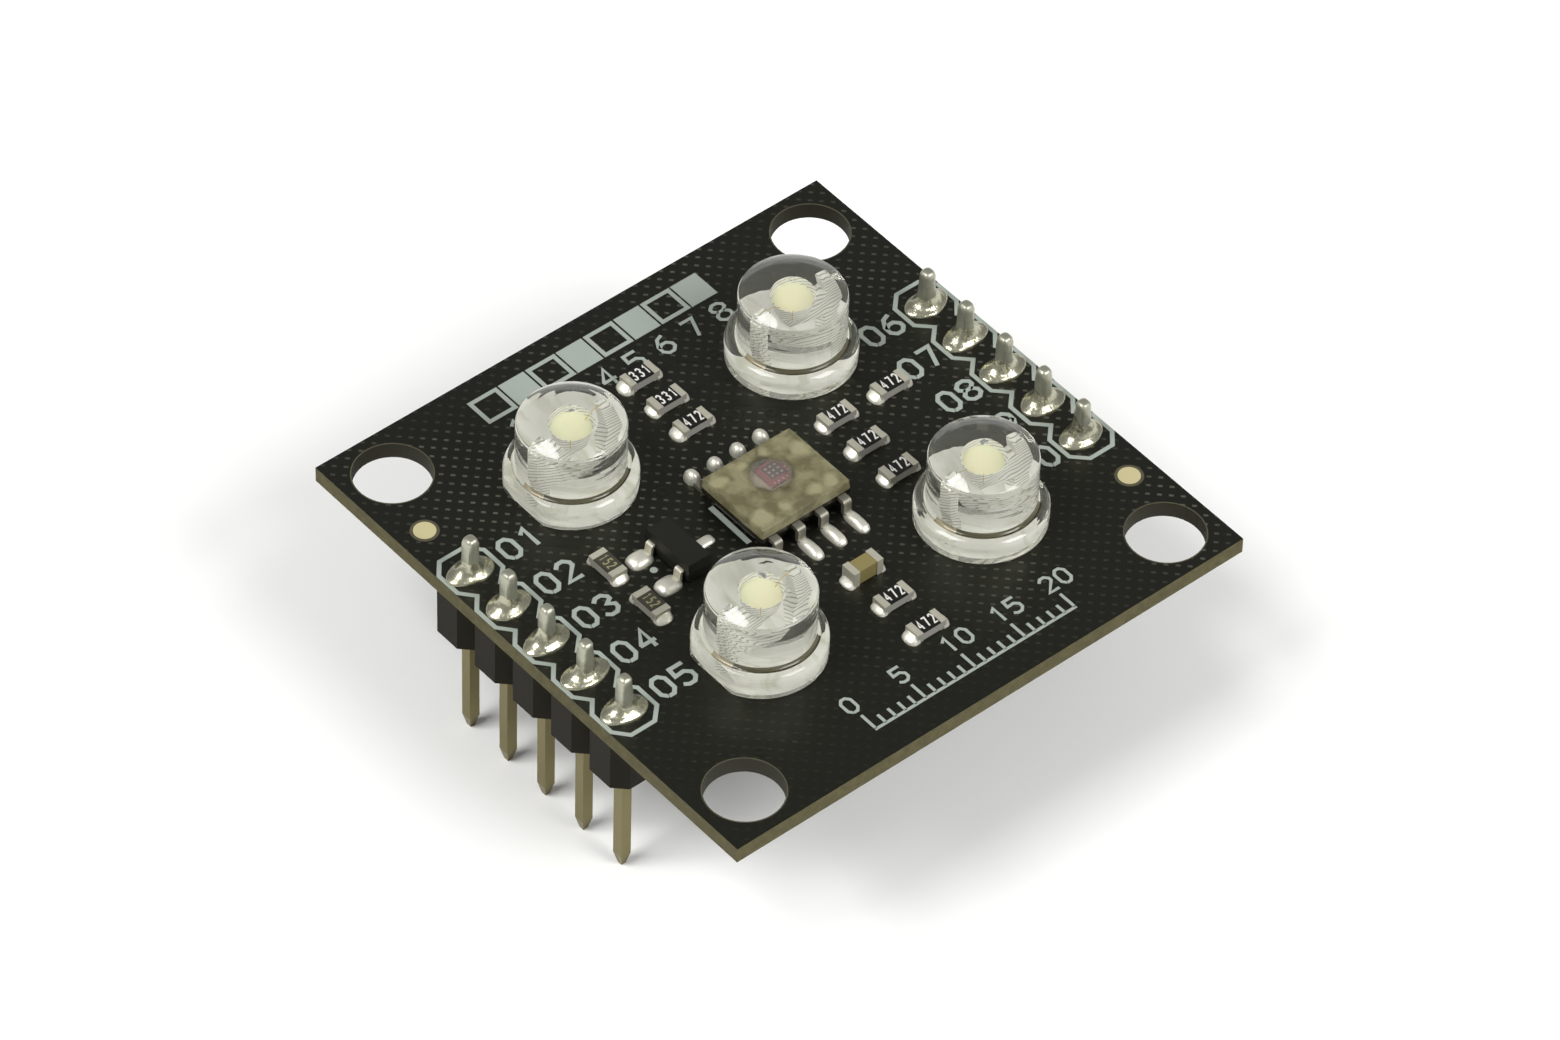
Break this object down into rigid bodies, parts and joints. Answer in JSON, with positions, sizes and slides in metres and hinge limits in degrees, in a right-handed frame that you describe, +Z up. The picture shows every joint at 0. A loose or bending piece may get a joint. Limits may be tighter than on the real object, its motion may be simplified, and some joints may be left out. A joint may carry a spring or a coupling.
{
  "type": "color sensor module",
  "caption": "Square circuit board with clear flat-topped LEDs round a clear color sensor chip, and two pin headers underneath at opposite edges.",
  "frame": {"origin": "middle of the board's outline, on the plane of the header pins' tips", "axes": "+X along the header rows, +Y from the near header to the far header, +Z up through the LEDs"},
  "size_m": [0.028, 0.028, 0.0139],
  "materials": {
    "solder_mask_board": "semi_gloss",
    "header_plastic": "moulded",
    "header_pin": "plated",
    "solder": "bright",
    "lens_resin": "clear cast resin",
    "lead_frame": "silver plated",
    "phosphor": "cast",
    "led_chip": "polished",
    "package_resin": "clear moulding, olive tint",
    "sensor_silicon": "polished",
    "tinned_lead": "tin plated",
    "resistor_ceramic": "glazed top on a ceramic body",
    "capacitor_ceramic": "fired",
    "terminal_tin": "tinned",
    "transistor_epoxy": "moulded"
  },
  "bodies": {
    "root": {"circuit_board": "solder_mask_board", "header_pins_near": "header_pin", "header_housing_near": "header_plastic", "header_solder_near": "solder", "header_pins_far": "header_pin", "header_housing_far": "header_plastic", "header_solder_far": "solder", "led_lens_1": "lens_resin", "led_anode_1": "lead_frame", "led_cathode_1": "lead_frame", "led_phosphor_1": "phosphor", "led_die_1": "led_chip", "led_lens_2": "lens_resin", "led_anode_2": "lead_frame", "led_cathode_2": "lead_frame", "led_phosphor_2": "phosphor", "led_die_2": "led_chip", "led_lens_3": "lens_resin", "led_anode_3": "lead_frame", "led_cathode_3": "lead_frame", "led_phosphor_3": "phosphor", "led_die_3": "led_chip", "led_lens_4": "lens_resin", "led_anode_4": "lead_frame", "led_cathode_4": "lead_frame", "led_phosphor_4": "phosphor", "led_die_4": "led_chip", "led_solder": "solder", "sensor_lead_1": "tinned_lead", "sensor_lead_2": "tinned_lead", "sensor_lead_3": "tinned_lead", "sensor_lead_4": "tinned_lead", "sensor_lead_5": "tinned_lead", "sensor_lead_6": "tinned_lead", "sensor_lead_7": "tinned_lead", "sensor_lead_8": "tinned_lead", "sensor_die_pad": "lead_frame", "sensor_die": "sensor_silicon", "sensor_package": "package_resin", "resistor_1": "resistor_ceramic", "resistor_2": "resistor_ceramic", "resistor_3": "resistor_ceramic", "resistor_4": "resistor_ceramic", "resistor_5": "resistor_ceramic", "resistor_6": "resistor_ceramic", "resistor_7": "resistor_ceramic", "resistor_8": "resistor_ceramic", "resistor_9": "resistor_ceramic", "resistor_10": "resistor_ceramic", "resistor_11": "resistor_ceramic", "resistor_terminals": "terminal_tin", "capacitor_body": "capacitor_ceramic", "capacitor_terminals": "terminal_tin", "transistor_lead_1": "tinned_lead", "transistor_lead_2": "tinned_lead", "transistor_lead_3": "tinned_lead", "transistor_body": "transistor_epoxy", "surface_solder": "solder"}
  },
  "joints": []
}
